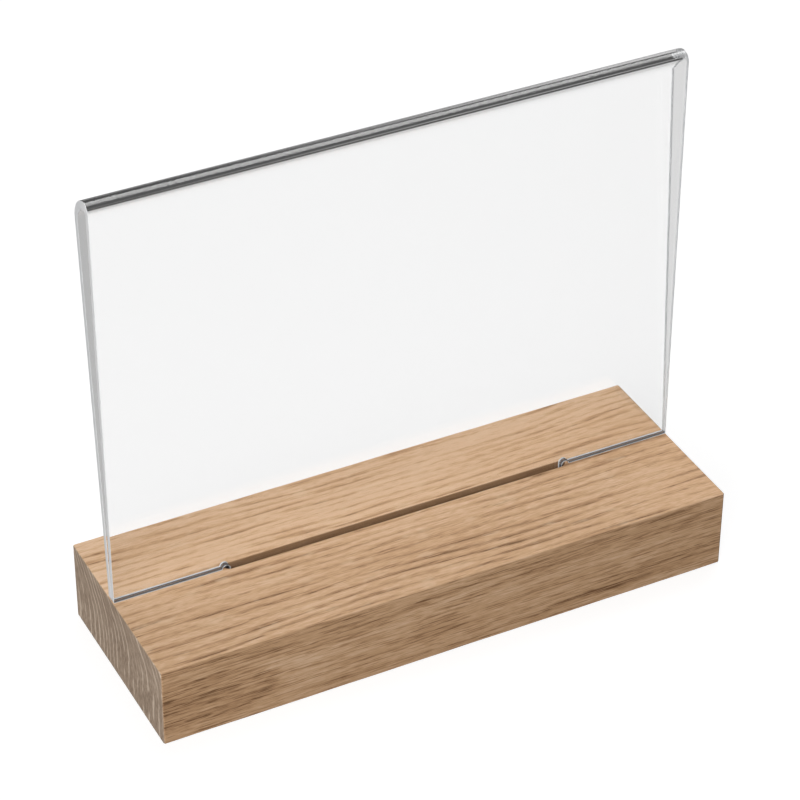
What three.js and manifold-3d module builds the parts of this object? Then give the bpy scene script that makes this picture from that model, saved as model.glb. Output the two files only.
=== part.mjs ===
// Acrylic sign holder: a clear sheet folded over into a sleeve for a card, standing by its tongue in the
// slot of an oak block. Millimetres, X along the block, Y from the front to the back, Z up, with the origin
// under the middle of the block.

import * as THREE from 'three';
import { RoundedBoxGeometry } from 'three/addons/geometries/RoundedBoxGeometry.js';
import { mergeVertices } from 'three/addons/utils/BufferGeometryUtils.js';
import Module from 'manifold-3d';

const wasm = await Module();
wasm.setup();

// Card that the sleeve is made for, lying on its long side
const CARD_HEIGHT = 148;
const CARD_HEADROOM = 0.5;

// Oak block
const BLOCK_LENGTH = 210;
const BLOCK_DEPTH = 74;
const BLOCK_HEIGHT = 30;
const EASED_EDGE_RADIUS = 1;
const EASED_EDGE_STEPS = 3;

// Clear sheet and the fold along its top
const SHEET_THICKNESS = 2;
const LEAF_GAP = 0.2;
const SLEEVE_END_INSET = 0.25;
const BEND_OUTER_RADIUS = 3.2;
const BEND_SETBACK = 2.1;
const CROWN_THICKENING = 1;
const FRONT_NECK_RADIUS = 8;
const FRONT_NECK_ANGLE = 6;
const BACK_SWELL_RADIUS = 9.5;
const BACK_SWELL_ANGLE = 78;
const MOUTH_RADIUS = 100;

// Tongue at the foot of the sheet, with a round relief beside it in each shoulder
const TONGUE_WIDTH = 126;
const TONGUE_DEPTH = 17;
const TONGUE_CORNER_RADIUS = 2;
const RELIEF_RADIUS = 1.4;

// Slot in the block, set behind the block's middle
const SLOT_SETBACK = 4;
const SLOT_SIDE_CLEARANCE = 0.25;
const SLOT_END_CLEARANCE = 0.4;
const SLOT_FLOOR_CLEARANCE = 1;

// Fineness of curves, and how far a cutting shape stands past what it cuts
const ARC_STEP = THREE.MathUtils.degToRad(5);
const CURVE_SEGMENTS = 16;
const CUT_MARGIN = 2;

// Sizes that follow from those above
const CROWN_THICKNESS = SHEET_THICKNESS + CROWN_THICKENING;
const SLEEVE_TOP = BLOCK_HEIGHT + CARD_HEIGHT + CARD_HEADROOM + CROWN_THICKNESS;
const SLEEVE_LENGTH = BLOCK_LENGTH - 2 * SLEEVE_END_INSET;
const TONGUE_THICKNESS = 2 * SHEET_THICKNESS + LEAF_GAP;
const TONGUE_FOOT = BLOCK_HEIGHT - TONGUE_DEPTH;
const SLOT_END_RADIUS = TONGUE_THICKNESS / 2 + SLOT_SIDE_CLEARANCE;
const SLOT_FLOOR = TONGUE_FOOT - SLOT_FLOOR_CLEARANCE;

const AXIS_X = new THREE.Vector3(1, 0, 0);
const AXIS_Y = new THREE.Vector3(0, 1, 0);
const AXIS_Z = new THREE.Vector3(0, 0, 1);

// A geometry as a solid that can be cut.
function solidOf(geometry) {
  const bare = geometry.clone();
  bare.deleteAttribute('normal');
  bare.deleteAttribute('uv');
  const merged = mergeVertices(bare);
  const mesh = new wasm.Mesh({
    numProp: 3,
    vertProperties: merged.attributes.position.array,
    triVerts: new Uint32Array(merged.index.array),
  });
  return new wasm.Manifold(mesh);
}

// A cut solid as a geometry again.
function geometryOf(solid) {
  const mesh = solid.getMesh();
  const geometry = new THREE.BufferGeometry();
  geometry.setAttribute('position', new THREE.BufferAttribute(mesh.vertProperties, 3));
  geometry.setIndex(new THREE.BufferAttribute(mesh.triVerts, 1));
  const flat = geometry.toNonIndexed();
  flat.computeVertexNormals();
  return flat;
}

// A flat outline drawn out by a length, with the middle of the length at the origin.
function drawnOut(shape, length) {
  const geometry = new THREE.ExtrudeGeometry(shape, {
    depth: length,
    bevelEnabled: false,
    curveSegments: CURVE_SEGMENTS,
  });
  return geometry.translate(0, 0, -length / 2);
}

// The heading, from straight up, of the line that leaves one arc and meets another above it without a corner.
// The two arcs' centres and the difference of their radii decide it.
function leafHeading(lowerCentre, upperCentre, radiusDifference) {
  const between = upperCentre.clone().sub(lowerCentre);
  return Math.acos(radiusDifference / between.length()) - between.angle();
}

// The middle of one leaf's thickness as arcs joined by a straight run: the mouth at the slot, the arc of the
// given radius under the bend, and the bend from the given heading to its crown, the given drop below the top.
// It is drawn with its own outward direction as x, and an arc that turns the leaf outward has a positive radius.
function leafArcs(side, heading, radius, drop) {
  const foot = new THREE.Vector2((LEAF_GAP + SHEET_THICKNESS) / 2, BLOCK_HEIGHT);
  const bendRadius = SHEET_THICKNESS / 2 - BEND_OUTER_RADIUS;
  const bendCentre = new THREE.Vector2(side * BEND_SETBACK, SLEEVE_TOP - drop - BEND_OUTER_RADIUS);
  const centre = new THREE.Vector2(-Math.cos(heading), Math.sin(heading))
    .multiplyScalar(bendRadius - radius)
    .add(bendCentre);
  const mouthRadius = Math.sign(leafHeading(foot, centre, radius)) * MOUTH_RADIUS;
  const mouthCentre = foot.clone().add(new THREE.Vector2(mouthRadius, 0));
  const lean = leafHeading(mouthCentre, centre, radius - mouthRadius);
  return [
    { centre: mouthCentre, radius: mouthRadius, from: 0, to: lean },
    { centre, radius, from: lean, to: heading },
    { centre: bendCentre, radius: bendRadius, from: heading, to: -Math.PI / 2 },
  ];
}

// Points up one face of a leaf, from below the tongue's foot to the crown of the bend.
function leafFace(side, arcs, outward) {
  const across = (LEAF_GAP + SHEET_THICKNESS) / 2 + outward;
  const points = [new THREE.Vector2(across, TONGUE_FOOT - CUT_MARGIN)];
  for (const arc of arcs) {
    const steps = Math.max(1, Math.ceil(Math.abs(arc.to - arc.from) / ARC_STEP));
    for (let step = 0; step <= steps; step += 1) {
      const heading = THREE.MathUtils.lerp(arc.from, arc.to, step / steps);
      const spoke = new THREE.Vector2(-Math.cos(heading), Math.sin(heading));
      points.push(spoke.multiplyScalar(arc.radius - outward).add(arc.centre));
    }
  }
  return points.map((point) => new THREE.Vector2(SLOT_SETBACK + side * point.x, point.y));
}

// The folded sheet seen from its end: outside over the front leaf, the bend and the back leaf, then inside back.
// The front leaf necks in under the bend, and the back leaf swells out into it. The bend's inside lies lower
// than its outside by the thickening, as the hot sheet bunches up there.
function foldedSheet() {
  const halfSheet = SHEET_THICKNESS / 2;
  const front = (drop) => leafArcs(-1, THREE.MathUtils.degToRad(FRONT_NECK_ANGLE), FRONT_NECK_RADIUS, drop);
  const swellRadius = halfSheet - BACK_SWELL_RADIUS;
  const back = (drop) => leafArcs(1, THREE.MathUtils.degToRad(-BACK_SWELL_ANGLE), swellRadius, drop);
  const profile = [
    ...leafFace(-1, front(0), halfSheet),
    ...leafFace(1, back(0), halfSheet).reverse().slice(1),
    ...leafFace(1, back(CROWN_THICKENING), -halfSheet),
    ...leafFace(-1, front(CROWN_THICKENING), -halfSheet).reverse().slice(1),
  ];
  const geometry = drawnOut(new THREE.Shape(profile), SLEEVE_LENGTH);
  return geometry.applyMatrix4(new THREE.Matrix4().makeBasis(AXIS_Y, AXIS_Z, AXIS_X));
}

// The sheet's outline seen from the front: tongue with rounded corners, reliefs, shoulders and both ends.
function sheetOutline() {
  const end = SLEEVE_LENGTH / 2 + CUT_MARGIN;
  const top = SLEEVE_TOP + CUT_MARGIN;
  const side = TONGUE_WIDTH / 2;
  const relief = side + RELIEF_RADIUS;
  const corner = side - TONGUE_CORNER_RADIUS;
  const cornerHeight = TONGUE_FOOT + TONGUE_CORNER_RADIUS;
  const outline = new THREE.Shape();
  outline.moveTo(-end, BLOCK_HEIGHT);
  outline.lineTo(-relief - RELIEF_RADIUS, BLOCK_HEIGHT);
  outline.absarc(-relief, BLOCK_HEIGHT, RELIEF_RADIUS, Math.PI, 0, true);
  outline.absarc(-corner, cornerHeight, TONGUE_CORNER_RADIUS, Math.PI, 1.5 * Math.PI, false);
  outline.absarc(corner, cornerHeight, TONGUE_CORNER_RADIUS, -0.5 * Math.PI, 0, false);
  outline.absarc(relief, BLOCK_HEIGHT, RELIEF_RADIUS, Math.PI, 0, true);
  outline.lineTo(end, BLOCK_HEIGHT);
  outline.lineTo(end, top);
  outline.lineTo(-end, top);
  outline.closePath();
  const geometry = drawnOut(outline, BLOCK_DEPTH);
  return geometry.applyMatrix4(new THREE.Matrix4().makeBasis(AXIS_X, AXIS_Z, AXIS_Y.clone().negate()));
}

// The clear sleeve: the folded sheet with its foot cut to the outline.
function acrylicSleeve() {
  return geometryOf(solidOf(foldedSheet()).intersect(solidOf(sheetOutline())));
}

// The room that the slot takes out of the block, with the round ends that a cutter leaves. The ends stand far
// enough apart for the tongue's square sides.
function slotRoom() {
  const reach = Math.sqrt(SLOT_END_RADIUS ** 2 - (TONGUE_THICKNESS / 2) ** 2);
  const endCentre = TONGUE_WIDTH / 2 + SLOT_END_CLEARANCE - reach;
  const outline = new THREE.Shape();
  outline.absarc(endCentre, 0, SLOT_END_RADIUS, -0.5 * Math.PI, 0.5 * Math.PI, false);
  outline.absarc(-endCentre, 0, SLOT_END_RADIUS, 0.5 * Math.PI, 1.5 * Math.PI, false);
  outline.closePath();
  const height = BLOCK_HEIGHT - SLOT_FLOOR + CUT_MARGIN;
  return drawnOut(outline, height).translate(0, SLOT_SETBACK, SLOT_FLOOR + height / 2);
}

// The oak block: eased on every edge, with the slot in its top.
function oakBlock() {
  const block = new RoundedBoxGeometry(
    BLOCK_LENGTH,
    BLOCK_DEPTH,
    BLOCK_HEIGHT,
    EASED_EDGE_STEPS,
    EASED_EDGE_RADIUS,
  );
  block.translate(0, 0, BLOCK_HEIGHT / 2);
  return geometryOf(solidOf(block).subtract(solidOf(slotRoom())));
}

const oak = new THREE.MeshStandardMaterial({ color: '#c79f76', roughness: 0.6, metalness: 0 });
const acrylic = new THREE.MeshStandardMaterial({
  color: '#f2f6f6',
  roughness: 0.05,
  metalness: 0,
  transparent: true,
  opacity: 0.25,
});

const holder = new THREE.Group();
const pieces = [
  ['oak_block', oakBlock(), oak],
  ['acrylic_sleeve', acrylicSleeve(), acrylic],
];
for (const [name, geometry, material] of pieces) {
  const mesh = new THREE.Mesh(geometry, material);
  mesh.name = name;
  holder.add(mesh);
}

export default holder;
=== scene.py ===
"""The looks of a sign holder: an oak block and the clear folded sleeve that stands in its slot.

Lengths are millimetres until a mesh, a lamp or the camera is written, and the angles of the fold and of the
camera are degrees. The frame is the part's own: X along the block, Y from the front to the back, Z up, with
the origin under the middle of the block.
"""

import logging
import math
from dataclasses import dataclass, field
from enum import Enum

import bpy
import numpy as np
from mathutils import Matrix, Vector


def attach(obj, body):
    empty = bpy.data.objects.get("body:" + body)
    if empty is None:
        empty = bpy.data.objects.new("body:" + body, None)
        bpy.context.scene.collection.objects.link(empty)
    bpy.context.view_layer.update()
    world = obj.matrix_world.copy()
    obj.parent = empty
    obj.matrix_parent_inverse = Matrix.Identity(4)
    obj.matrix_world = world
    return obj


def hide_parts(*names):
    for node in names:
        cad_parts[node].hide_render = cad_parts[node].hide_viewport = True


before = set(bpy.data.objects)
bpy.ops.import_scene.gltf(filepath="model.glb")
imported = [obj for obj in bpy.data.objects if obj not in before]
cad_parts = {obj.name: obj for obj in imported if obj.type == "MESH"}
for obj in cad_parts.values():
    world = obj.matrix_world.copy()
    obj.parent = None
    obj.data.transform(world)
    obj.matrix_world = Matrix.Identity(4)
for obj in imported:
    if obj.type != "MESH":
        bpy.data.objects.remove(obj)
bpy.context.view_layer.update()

LOG = logging.getLogger("sign_holder")
MM = 0.001

# How much the clear sheet bends light
REFRACTION = 1.49

# Marks on the block's points: the eased edges, made paler as wear, and the slot, darkened as painted shade
ARRIS = "arris"
PAINTED_SLOT_SHADE = "painted_slot_shade"

# A ray's count below the first of these is nought, and below the second it is one leaf's two faces at most
NOT_ONCE = 0.5
ONE_LEAF = 2.5

# Numbers of the Mix node's sockets for colours
MIX_SHARE = 0
MIX_FIRST = 6
MIX_SECOND = 7
MIX_RESULT = 2

Triple = tuple[float, float, float]
Span = tuple[float, float]
Greys = tuple[Span, ...]
Socket = bpy.types.NodeSocket
Source = Socket | float | tuple[float, ...]


class Body(Enum):
    """The bodies of the part that a piece can move with."""

    BLOCK = "block"
    SLEEVE = "sleeve"


class Leaf(Enum):
    """The two leaves of the folded sheet, by the side of Y that each one faces."""

    FRONT = -1
    BACK = 1


class Face(Enum):
    """The two faces of the sheet, by their side of its middle."""

    OUTER = 1
    INNER = -1


class Dress(Enum):
    """The finishes of the sheet, by their place in its list of materials."""

    CLEAR = 0
    FOOT = 1
    LEFT_END = 2
    RIGHT_END = 3


class NodeSheet:
    """A node tree, with short calls that add a node, feed it and hand back what comes out of it."""

    def __init__(self, tree: bpy.types.NodeTree) -> None:
        """Takes over the node tree of a material or of the world, and empties it."""
        self.tree = tree
        tree.nodes.clear()

    def add(self, kind: str, **settings: object) -> bpy.types.Node:
        """Adds a node.

        Args:
            kind: Blender's name for the node.
            **settings: The node's own settings by name.

        Returns:
            The new node.
        """
        node = self.tree.nodes.new(kind)
        for name, value in settings.items():
            setattr(node, name, value)
        return node

    def feed(self, node: bpy.types.Node, inputs: dict[str | int, Source]) -> bpy.types.Node:
        """Links a node's inputs to other nodes' outputs, or sets their own values.

        Args:
            node: The node to feed.
            inputs: What goes into each input, by the input's name or number.

        Returns:
            The same node.
        """
        for name, source in inputs.items():
            if isinstance(source, bpy.types.NodeSocket):
                self.tree.links.new(source, node.inputs[name])
            else:
                node.inputs[name].default_value = source
        return node

    def math(self, operation: str, *sources: Source) -> Socket:
        """Works out one number from others, in order, by an operation of the Math node."""
        node = self.add("ShaderNodeMath", operation=operation)
        return self.feed(node, dict(enumerate(sources))).outputs[0]

    def product(self, first: Source, *others: Source) -> Socket:
        """Multiplies numbers.

        Args:
            first: The first number.
            *others: The numbers that it is multiplied by, in order.

        Returns:
            The product.
        """
        for other in others:
            first = self.math("MULTIPLY", first, other)
        return first

    def total(self, start: Source, *parts: tuple[Source, Source]) -> Socket:
        """Adds up numbers, each times its weight.

        Args:
            start: What the sum starts from.
            *parts: Each number with its weight.

        Returns:
            The sum.
        """
        for part, weight in parts:
            start = self.math("MULTIPLY_ADD", part, weight, start)
        return start

    def vector(self, operation: str, *sources: Source) -> bpy.types.Node:
        """Adds a Vector Math node, whose result may be a vector or a value by its operation."""
        node = self.add("ShaderNodeVectorMath", operation=operation)
        return self.feed(node, dict(enumerate(sources)))

    def apart(self, vector: Socket) -> tuple[Socket, Socket, Socket]:
        """The X, the Y and the Z of a vector."""
        x, y, z = self.feed(self.add("ShaderNodeSeparateXYZ"), {0: vector}).outputs
        return x, y, z

    def place_in_mm(self) -> Socket:
        """The place on the piece in millimetres."""
        coordinates = self.add("ShaderNodeTexCoord")
        return self.vector("MULTIPLY", coordinates.outputs["Object"], (1.0 / MM,) * 3).outputs[0]

    def spread(self, source: Source, limits: Span, reach: Span = (0.0, 1.0)) -> Socket:
        """Carries a number between two limits over to a reach, with soft ends."""
        node = self.add("ShaderNodeMapRange", interpolation_type="SMOOTHSTEP")
        return self.feed(node, dict(enumerate((source, *limits, *reach)))).outputs[0]

    def ramp(
        self, source: Source, stops: tuple[tuple[float, Triple], ...], kind: str = "LINEAR"
    ) -> Socket:
        """Colours a number.

        Args:
            source: The number from 0 to 1.
            stops: Places and colours in rising order.
            kind: How colours run between the stops.

        Returns:
            The colour.
        """
        node = self.add("ShaderNodeValToRGB")
        elements = node.color_ramp.elements
        node.color_ramp.interpolation = kind
        while len(elements) < len(stops):
            elements.new(1.0)
        for element, (position, colour) in zip(elements, stops):
            element.position = position
            element.color = (*colour, 1.0)
        return self.feed(node, {0: source}).outputs[0]

    def grey_ramp(self, source: Source, stops: Greys, kind: str = "LINEAR") -> Socket:
        """Turns a number from 0 to 1 into a grey by places and greys in rising order."""
        return self.ramp(source, tuple((place, (grey,) * 3) for place, grey in stops), kind)

    def mix(self, share: Source, first: Source, second: Source, blend: str = "MIX") -> Socket:
        """Mixes two colours.

        Args:
            share: How much of the second colour is taken.
            first: One colour.
            second: The other colour.
            blend: The kind of mixing.

        Returns:
            The mixed colour.
        """
        node = self.add("ShaderNodeMix", data_type="RGBA", blend_type=blend)
        first, second = (
            source if isinstance(source, bpy.types.NodeSocket) else (*source, 1.0)
            for source in (first, second)
        )
        inputs = {MIX_SHARE: share, MIX_FIRST: first, MIX_SECOND: second}
        return self.feed(node, inputs).outputs[MIX_RESULT]

    def bump(
        self, shader: bpy.types.Node, height: Socket, strength: float, depth: float, sunk: bool = False
    ) -> None:
        """Gives a shader's surface a fine relief.

        Args:
            shader: The shader.
            height: The relief's height from 0 to 1.
            strength: How strongly it shows.
            depth: Its depth in millimetres.
            sunk: Whether high places lie deeper.
        """
        node = self.add("ShaderNodeBump", invert=sunk)
        self.feed(node, {"Strength": strength, "Distance": depth * MM, "Height": height})
        self.feed(shader, {"Normal": node.outputs[0]})


@dataclass(frozen=True)
class Pattern:
    """Noise in lumps, and the range of it that counts.

    A lump's size is in millimetres along X, Y and Z, and the offset shifts the lumps by so many of them.
    The noise between the two limits is carried over to the reach.
    """

    size: Triple
    detail: float = 2.0
    offset: Triple = (0.0, 0.0, 0.0)
    limits: Span = (0.0, 1.0)
    reach: Span = (0.0, 1.0)

    def noise(self, sheet: NodeSheet, place: Socket) -> Socket:
        """The noise itself.

        Args:
            sheet: The node tree.
            place: The place in millimetres.

        Returns:
            A number about one half.
        """
        scale = tuple(1.0 / length for length in self.size)
        scaled = sheet.vector("MULTIPLY_ADD", place, scale, self.offset).outputs[0]
        node = sheet.add("ShaderNodeTexNoise", noise_dimensions="3D")
        return sheet.feed(node, {"Vector": scaled, "Scale": 1.0, "Detail": self.detail}).outputs[0]

    def swing(self, sheet: NodeSheet, place: Socket) -> Socket:
        """The noise about nought."""
        return sheet.math("SUBTRACT", self.noise(sheet, place), 0.5)

    def mask(self, sheet: NodeSheet, place: Socket) -> Socket:
        """The noise carried over to the reach."""
        return sheet.spread(self.noise(sheet, place), self.limits, self.reach)


def new_material(name: str) -> tuple[bpy.types.Material, NodeSheet, bpy.types.Node]:
    """A material with its shader in place.

    Args:
        name: The material's name.

    Returns:
        The material, its node tree and its Principled shader.
    """
    material = bpy.data.materials.new(name)
    material.use_nodes = True
    sheet = NodeSheet(material.node_tree)
    shader = sheet.add("ShaderNodeBsdfPrincipled")
    sheet.feed(sheet.add("ShaderNodeOutputMaterial"), {"Surface": shader.outputs[0]})
    return material, sheet, shader


@dataclass(frozen=True)
class OakFinish:
    """Sanded oak with a thin matt oil.

    The growth rings run along X. On the ends they stand nearly upright and lean over towards the back as
    they near the top, so they show as lines along the top and along the upper front.
    """

    pale: Triple = (0.75, 0.515, 0.335)
    light: Triple = (0.62, 0.385, 0.215)
    middle: Triple = (0.46, 0.265, 0.137)
    dark: Triple = (0.20, 0.103, 0.047)
    fleck: Triple = (0.80, 0.59, 0.40)
    light_shade: float = 0.28
    middle_shade: float = 0.6
    end_light: Triple = (0.74, 0.60, 0.47)
    end_middle: Triple = (0.45, 0.335, 0.246)
    end_dark: Triple = (0.20, 0.138, 0.097)
    end_middle_shade: float = 0.42

    ring_width: float = 3.8
    ring_slope: float = -0.1
    lean_height: float = 14.0
    lean: float = 0.036
    sway: Pattern = Pattern((120.0, 38.0, 60.0), 1.0)
    sway_width: float = 17.0
    waver: Pattern = Pattern((36.0, 10.0, 16.0))
    waver_width: float = 3.4

    early_wood: Greys = ((0.0, 0.3), (0.1, 1.0), (0.32, 0.75), (0.6, 0.15), (0.85, 0.0), (1.0, 0.3))
    streak: Pattern = Pattern((24.0, 1.3, 1.3), 3.0, limits=(0.38, 0.62), reach=(0.2, 1.0))
    strength: Pattern = Pattern((60.0, 7.0, 7.0), 1.0, (5.0, 3.0, 1.0), (0.36, 0.62), (0.35, 1.3))
    pore: Pattern = Pattern((6.5, 0.42, 0.42), 2.0, (3.1, 7.7, 1.9), (0.53, 0.66))
    fibre: Pattern = Pattern((3.4, 0.5, 0.4), 2.0, (1.7, 4.4, 8.8))
    tone: Pattern = Pattern((80.0, 16.0, 12.0), 2.0, (8.4, 3.9, 1.2))
    dash: Pattern = Pattern((13.0, 24.0, 0.42), 2.0, (9.3, 2.2, 5.4), (0.5, 0.64), (0.0, 0.4))
    band: Pattern = Pattern((70.0, 40.0, 2.6), 1.0, (2.3, 6.1, 0.7), (0.42, 0.64), (0.0, 0.16))
    ray: Pattern = Pattern((9.0, 3.6, 3.6), 2.0, (9.3, 2.2, 5.4), (0.56, 0.74), (0.0, 0.34))
    plain_shade: float = 0.17
    line_weight: float = 0.54
    pore_weight: float = 0.34
    fibre_weight: float = 0.6
    tone_weight: float = 0.5
    late_pores: float = 0.35
    front_fade: float = 0.5
    # Painted light: the long grain turns paler from the front to the back over this run of Y, by this much
    painted_light_run: Span = (-2.0, 9.0)
    painted_light_behind: float = 0.15

    end_ring: Greys = ((0.0, 1.0), (0.14, 0.3), (0.3, 0.0), (0.86, 0.0), (1.0, 1.0))
    end_breaks: Pattern = Pattern((20.0, 3.4, 10.0), 1.0, limits=(0.38, 0.6), reach=(0.1, 1.0))
    end_streak: Pattern = Pattern((20.0, 0.42, 2.4), 3.0, (4.0, 1.0, 2.0), (0.4, 0.66), (0.38, 0.72))
    end_tone: Pattern = Pattern((20.0, 14.0, 12.0))
    end_ring_weight: float = 0.72
    end_limits: Span = (0.45, 0.85)

    arris_paleness: float = 0.16
    # How far the slot's walls and floor are darkened: painted shade where shade falls in the slot
    painted_slot_shade_strength: float = 0.88
    roughness: float = 0.52
    shade_roughness: float = 0.16
    pore_strength: float = 0.4
    pore_depth: float = 0.1
    specular: float = 0.35

    def ring_distance(self, sheet: NodeSheet, place: Socket) -> Socket:
        """How far each place is across the rings, with a long sway and a short waver added.

        Without them it is y - slope * z - lean * rise ** 2, where rise is the height above the lean's
        start.

        Args:
            sheet: The node tree.
            place: The place in millimetres.

        Returns:
            The distance in millimetres.
        """
        _, depth, height = sheet.apart(place)
        rise = sheet.math("MAXIMUM", sheet.math("SUBTRACT", height, self.lean_height), 0.0)
        return sheet.total(
            depth,
            (height, -self.ring_slope),
            (sheet.product(rise, rise), -self.lean),
            (self.sway.noise(sheet, place), self.sway_width),
            (self.waver.noise(sheet, place), self.waver_width),
        )

    def shade(
        self, sheet: NodeSheet, place: Socket, fraction: Socket, faces: tuple[Socket, ...]
    ) -> Socket:
        """How dark the long grain is: ring lines, pores, fibres and slow changes, with dashes on the front.

        Args:
            sheet: The node tree.
            place: The place in millimetres.
            fraction: How far through its growth ring each place is.
            faces: How squarely the surface faces along X, along Y and up.

        Returns:
            The darkness, from 0 to 1.
        """
        _, front, _ = faces
        early = sheet.grey_ramp(fraction, self.early_wood, "EASE")
        streak, strength = self.streak.mask(sheet, place), self.strength.mask(sheet, place)
        line = sheet.product(early, streak, strength, sheet.total(1.0, (front, -self.front_fade)))
        pores = sheet.total(self.late_pores, (early, 1.0 - self.late_pores))
        dashes = sheet.math("ADD", self.band.mask(sheet, place), self.dash.mask(sheet, place))
        return sheet.total(
            self.plain_shade,
            (line, self.line_weight),
            (sheet.product(self.pore.mask(sheet, place), pores), self.pore_weight),
            (self.fibre.swing(sheet, place), self.fibre_weight),
            (self.tone.swing(sheet, place), self.tone_weight),
            (dashes, front),
        )

    def long_grain(
        self, sheet: NodeSheet, place: Socket, shade: Socket, faces: tuple[Socket, ...]
    ) -> Socket:
        """The colour along the grain, made paler behind the slot as painted light, with light ray flecks on
        the top.

        Args:
            sheet: The node tree.
            place: The place in millimetres.
            shade: How dark the long grain is.
            faces: How squarely the surface faces along X, along Y and up.

        Returns:
            The colour.
        """
        _, depth, _ = sheet.apart(place)
        # Painted light: paler towards the back
        painted_light_behind = sheet.spread(depth, self.painted_light_run, (0.0, self.painted_light_behind))
        stops = (
            (0.0, self.pale),
            (self.light_shade, self.light),
            (self.middle_shade, self.middle),
            (1.0, self.dark),
        )
        colour = sheet.ramp(sheet.math("SUBTRACT", shade, painted_light_behind), stops)
        return sheet.mix(sheet.product(self.ray.mask(sheet, place), faces[2]), colour, self.fleck)

    def end_grain(self, sheet: NodeSheet, place: Socket, distance: Socket, fraction: Socket) -> Socket:
        """The colour across the grain: light ring lines, and fine dark streaks that lie along the rings.

        Args:
            sheet: The node tree.
            place: The place in millimetres.
            distance: How far each place is across the rings, which stands in for Y here.
            fraction: How far through its growth ring each place is.

        Returns:
            The colour.
        """
        along, _, height = sheet.apart(place)
        combined = sheet.add("ShaderNodeCombineXYZ")
        turned = sheet.feed(combined, {0: along, 1: distance, 2: height}).outputs[0]
        ring = sheet.product(sheet.grey_ramp(fraction, self.end_ring), self.end_breaks.mask(sheet, turned))
        shade = sheet.total(
            self.end_streak.mask(sheet, turned),
            (self.end_tone.swing(sheet, place), self.tone_weight),
            (ring, -self.end_ring_weight),
        )
        stops = ((0.0, self.end_light), (self.end_middle_shade, self.end_middle), (1.0, self.end_dark))
        return sheet.ramp(shade, stops)

    def material(self) -> bpy.types.Material:
        """The oak as a material, with its eased edges paler as wear and painted shade darkening its slot.

        Returns:
            The finished material.
        """
        material, sheet, shader = new_material("oiled_oak")
        place = sheet.place_in_mm()
        normal = sheet.add("ShaderNodeTexCoord").outputs["Normal"]
        faces = tuple(sheet.math("ABSOLUTE", part) for part in sheet.apart(normal))
        distance = self.ring_distance(sheet, place)
        fraction = sheet.math("FRACT", sheet.math("DIVIDE", distance, self.ring_width))
        shade = self.shade(sheet, place, fraction, faces)
        along = self.long_grain(sheet, place, shade, faces)
        across = self.end_grain(sheet, place, distance, fraction)
        colour = sheet.mix(sheet.spread(faces[0], self.end_limits), along, across)
        # Eased edges paler as wear; the slot darker as painted shade
        colour_marks = ((ARRIS, self.arris_paleness, self.pale), (PAINTED_SLOT_SHADE, self.painted_slot_shade_strength, self.dark))
        for mark, share, tone in colour_marks:
            marked = sheet.add("ShaderNodeAttribute", attribute_name=mark).outputs["Fac"]
            colour = sheet.mix(sheet.product(marked, share), colour, tone)
        roughness = sheet.total(self.roughness, (shade, self.shade_roughness))
        inputs = {"Base Color": colour, "Roughness": roughness, "Specular IOR Level": self.specular}
        sheet.feed(shader, inputs)
        sheet.bump(shader, shade, self.pore_strength, self.pore_depth, sunk=True)
        return material


@dataclass(frozen=True)
class ClearFinish:
    """Clear polished sheet, with the faint waviness and hazy handling marks of a used one."""

    tint: Triple = (0.995, 0.995, 0.995)
    haze: Pattern = Pattern((30.0, 30.0, 22.0), 3.0, limits=(0.45, 0.75), reach=(0.0, 0.02))
    waves: Pattern = Pattern((28.0, 28.0, 40.0), 1.0, (2.0, 5.0, 1.0))
    wave_strength: float = 0.3
    wave_depth: float = 0.02

    def material(self) -> bpy.types.Material:
        """The clear faces as a material.

        Returns:
            The finished material.
        """
        material, sheet, shader = new_material("clear_sheet")
        place = sheet.place_in_mm()
        inputs = {
            "Base Color": (*self.tint, 1.0),
            "IOR": REFRACTION,
            "Transmission Weight": 1.0,
            "Roughness": self.haze.mask(sheet, place),
        }
        sheet.feed(shader, inputs)
        sheet.bump(shader, self.waves.noise(sheet, place), self.wave_strength, self.wave_depth)
        return material


@dataclass(frozen=True)
class CutEdgeFinish:
    """The sheet's cut edge, sawn and scraped, so it is matt with only a little clearness left."""

    name: str
    near: Triple
    far: Triple
    run: Span
    origin: float = 0.0
    clearness: float = 0.06
    marks: Pattern = Pattern((1.6, 1.6, 3.5), limits=(0.3, 0.7), reach=(0.3, 0.45))
    mark_share: float = 0.22
    mark_strength: float = 0.3
    mark_depth: float = 0.03

    def material(self) -> bpy.types.Material:
        """The cut edge as a material, whose colour runs from near to far along Y, from its origin.

        Returns:
            The finished material.
        """
        material, sheet, shader = new_material(self.name)
        place = sheet.place_in_mm()
        marks = self.marks.noise(sheet, place)
        _, depth, _ = sheet.apart(place)
        distance = sheet.math("ABSOLUTE", sheet.math("SUBTRACT", depth, self.origin))
        colour = sheet.mix(sheet.spread(distance, self.run), self.near, self.far)
        inputs = {
            "Base Color": sheet.mix(self.mark_share, colour, marks, "OVERLAY"),
            "IOR": REFRACTION,
            "Transmission Weight": self.clearness,
            "Roughness": sheet.spread(marks, self.marks.limits, self.marks.reach),
        }
        sheet.feed(shader, inputs)
        sheet.bump(shader, marks, self.mark_strength, self.mark_depth)
        return material


LEFT_END = CutEdgeFinish(
    "scraped_left_end", near=(0.92, 0.925, 0.93), far=(0.82, 0.83, 0.84), run=(5.0, 11.0)
)
# The right end has the same scraped edge as the left one, given darker greys to offset the key lamp that
# lights it more: painted shade
RIGHT_END = CutEdgeFinish(
    "scraped_right_end_painted_shade", near=(0.64, 0.65, 0.66), far=(0.57, 0.58, 0.59), run=(5.0, 9.0)
)
# Painted shade and highlight: the feet's cut edges are near black close to the sheet's middle and pale
# further out, for the dark band and the light line that the polished feet show
FOOT = CutEdgeFinish(
    "sawn_foot_painted_shade_and_highlight", near=(0.075, 0.08, 0.09), far=(0.60, 0.63, 0.65), run=(1.1, 1.6), origin=4.0
)


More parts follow.
